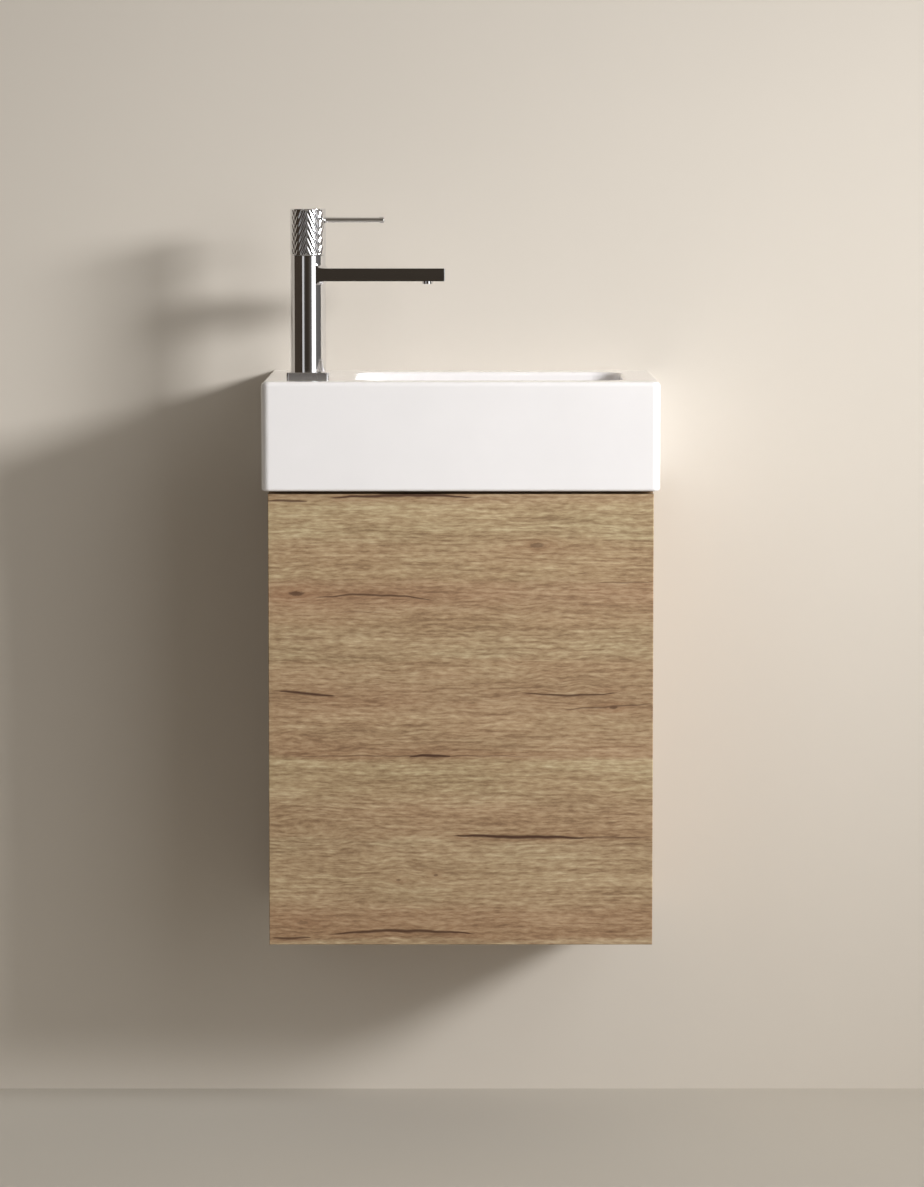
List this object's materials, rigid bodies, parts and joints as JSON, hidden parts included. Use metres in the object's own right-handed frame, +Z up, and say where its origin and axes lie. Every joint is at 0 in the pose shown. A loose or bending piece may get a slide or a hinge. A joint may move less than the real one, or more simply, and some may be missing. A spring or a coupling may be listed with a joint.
{
  "type": "wall-hung vanity unit",
  "caption": "Narrow wall-hung vanity unit: a ceramic basin with an offset tap over a flat-fronted cabinet whose door swings on concealed hinges.",
  "frame": {"origin": "centre of the four screw holes of the two wall plates, on the wall plane", "axes": "+X to the right as seen from the front, +Y into the wall, +Z up"},
  "size_m": [0.4, 0.25, 0.7415],
  "materials": {
    "basin_glaze": "gloss glaze",
    "bright_chrome": "polished",
    "brass_fitting": "satin",
    "seal_rubber": "matt",
    "trap_plastic": "semi-gloss",
    "carcass_board": "matt melamine-faced board",
    "oak_front": "matt, horizontal grain",
    "dowel_beech": "raw",
    "nickel_steel": "nickel plated",
    "zinc_steel": "zinc plated",
    "white_plastic": "matt",
    "grey_plastic": "matt",
    "clear_bumper": "translucent soft plastic"
  },
  "bodies": {
    "cabinet": {"basin": "basin_glaze", "overflow_ring": "bright_chrome", "waste_body": "bright_chrome", "waste_seals": "seal_rubber", "waste_nut": "brass_fitting", "trap_inlet_tube": "trap_plastic", "trap_body": "trap_plastic", "trap_cup": "trap_plastic", "trap_outlet_pipe": "trap_plastic", "trap_nuts": "trap_plastic", "trap_seals": "seal_rubber", "wall_rosette": "trap_plastic", "side_panel_left": "carcass_board", "side_panel_right": "carcass_board", "bottom_panel": "carcass_board", "top_rail_front": "carcass_board", "top_rail_back": "carcass_board", "back_rail_bottom": "carcass_board", "shelf": "carcass_board", "shelf_pins": "nickel_steel", "carcass_dowels": "dowel_beech", "cam_bolts": "nickel_steel", "cam_locks": "nickel_steel", "hanger_left": "white_plastic", "hanger_right": "white_plastic", "hanger_hooks": "zinc_steel", "hanger_screws": "zinc_steel", "wall_plate_left": "zinc_steel", "wall_plate_right": "zinc_steel", "hinge_plate_upper": "nickel_steel", "hinge_plate_lower": "nickel_steel", "hinge_arm_upper": "nickel_steel", "hinge_arm_lower": "nickel_steel", "hinge_screws": "zinc_steel", "latch_housing": "grey_plastic", "latch_screws": "zinc_steel", "tap_base_plate": "bright_chrome", "tap_gasket": "seal_rubber", "tap_shank": "brass_fitting", "tap_washer": "seal_rubber", "tap_nut": "brass_fitting", "tap_body": "bright_chrome", "aerator_housing": "bright_chrome", "aerator_insert": "white_plastic", "tap_cartridge": "white_plastic", "cartridge_nut": "brass_fitting"},
    "door": {"door_panel": "oak_front", "hinge_cup_upper": "nickel_steel", "hinge_cup_lower": "nickel_steel", "hinge_cup_screws": "zinc_steel", "hinge_pins": "nickel_steel", "door_bumpers": "clear_bumper", "strike_plate": "nickel_steel"},
    "tap_control": {"tap_handle": "bright_chrome", "tap_lever": "bright_chrome", "handle_screw": "nickel_steel", "tap_stem": "brass_fitting"},
    "plug": {"waste_plug": "bright_chrome", "plug_spindle": "bright_chrome"},
    "plunger": {"latch_plunger": "grey_plastic"}
  },
  "joints": [
    {"name": "door_swing", "type": "hinge", "parent": "cabinet", "child": "door", "pos_m": [-0.1855, -0.208, -0.1715], "axis": [0, 0, -1], "range_deg": [0, 95]},
    {"name": "tap_turn", "type": "hinge", "parent": "cabinet", "child": "tap_control", "pos_m": [-0.1566, -0.11, 0.3], "axis": [0, 0, -1], "range_deg": [0, 90]},
    {"name": "plug_lift", "type": "slide", "parent": "cabinet", "child": "plug", "axis": [0, 0, 1], "range_m": [0, 0.008]},
    {"name": "latch_eject", "type": "slide", "parent": "cabinet", "child": "plunger", "axis": [0, -1, 0], "range_m": [0, 0.02]}
  ],
  "couplings": [
    {"joint": "latch_eject", "follows": "door_swing", "m_per_rad": 0.01206}
  ]
}
